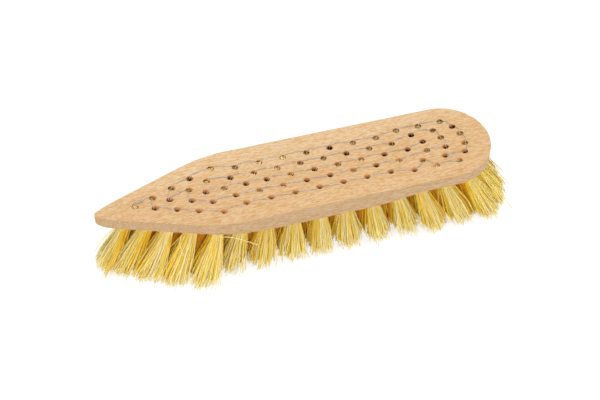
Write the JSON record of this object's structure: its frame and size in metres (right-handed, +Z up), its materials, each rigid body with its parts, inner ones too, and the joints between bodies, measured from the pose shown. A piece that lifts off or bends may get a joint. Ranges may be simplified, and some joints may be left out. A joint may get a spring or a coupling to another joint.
{
  "type": "shoe brush",
  "caption": "Pointed wooden shoe brush: flat-backed beech block with stiff plant-fibre tufts, drawn through open holes by one steel wire along its back.",
  "frame": {"origin": "middle of the brush's overall box, on the plane that the cut bristle tips stand on", "axes": "+X from the pointed nose to the round heel, +Y across the block away from the pictured side, +Z up through the flat back"},
  "size_m": [0.2388, 0.053, 0.0443],
  "materials": {
    "beech": "fine sanded, unvarnished",
    "plant_fibre": "stiff dry fibre, slight sheen",
    "steel_wire": "drawn bright wire"
  },
  "bodies": {
    "root": {"beech_block": "beech", "middle_tuft_01": "plant_fibre", "middle_tuft_02": "plant_fibre", "middle_tuft_03": "plant_fibre", "middle_tuft_04": "plant_fibre", "middle_tuft_05": "plant_fibre", "middle_tuft_06": "plant_fibre", "middle_tuft_07": "plant_fibre", "middle_tuft_08": "plant_fibre", "middle_tuft_09": "plant_fibre", "middle_tuft_10": "plant_fibre", "middle_tuft_11": "plant_fibre", "middle_tuft_12": "plant_fibre", "middle_tuft_13": "plant_fibre", "middle_tuft_14": "plant_fibre", "middle_tuft_15": "plant_fibre", "middle_tuft_16": "plant_fibre", "middle_tuft_17": "plant_fibre", "front_tuft_01": "plant_fibre", "front_tuft_02": "plant_fibre", "front_tuft_03": "plant_fibre", "front_tuft_04": "plant_fibre", "front_tuft_05": "plant_fibre", "front_tuft_06": "plant_fibre", "front_tuft_07": "plant_fibre", "front_tuft_08": "plant_fibre", "front_tuft_09": "plant_fibre", "front_tuft_10": "plant_fibre", "front_tuft_11": "plant_fibre", "front_tuft_12": "plant_fibre", "front_tuft_13": "plant_fibre", "front_tuft_14": "plant_fibre", "back_tuft_01": "plant_fibre", "back_tuft_02": "plant_fibre", "back_tuft_03": "plant_fibre", "back_tuft_04": "plant_fibre", "back_tuft_05": "plant_fibre", "back_tuft_06": "plant_fibre", "back_tuft_07": "plant_fibre", "back_tuft_08": "plant_fibre", "back_tuft_09": "plant_fibre", "back_tuft_10": "plant_fibre", "back_tuft_11": "plant_fibre", "back_tuft_12": "plant_fibre", "back_tuft_13": "plant_fibre", "back_tuft_14": "plant_fibre", "stitching_wire": "steel_wire"}
  },
  "joints": []
}
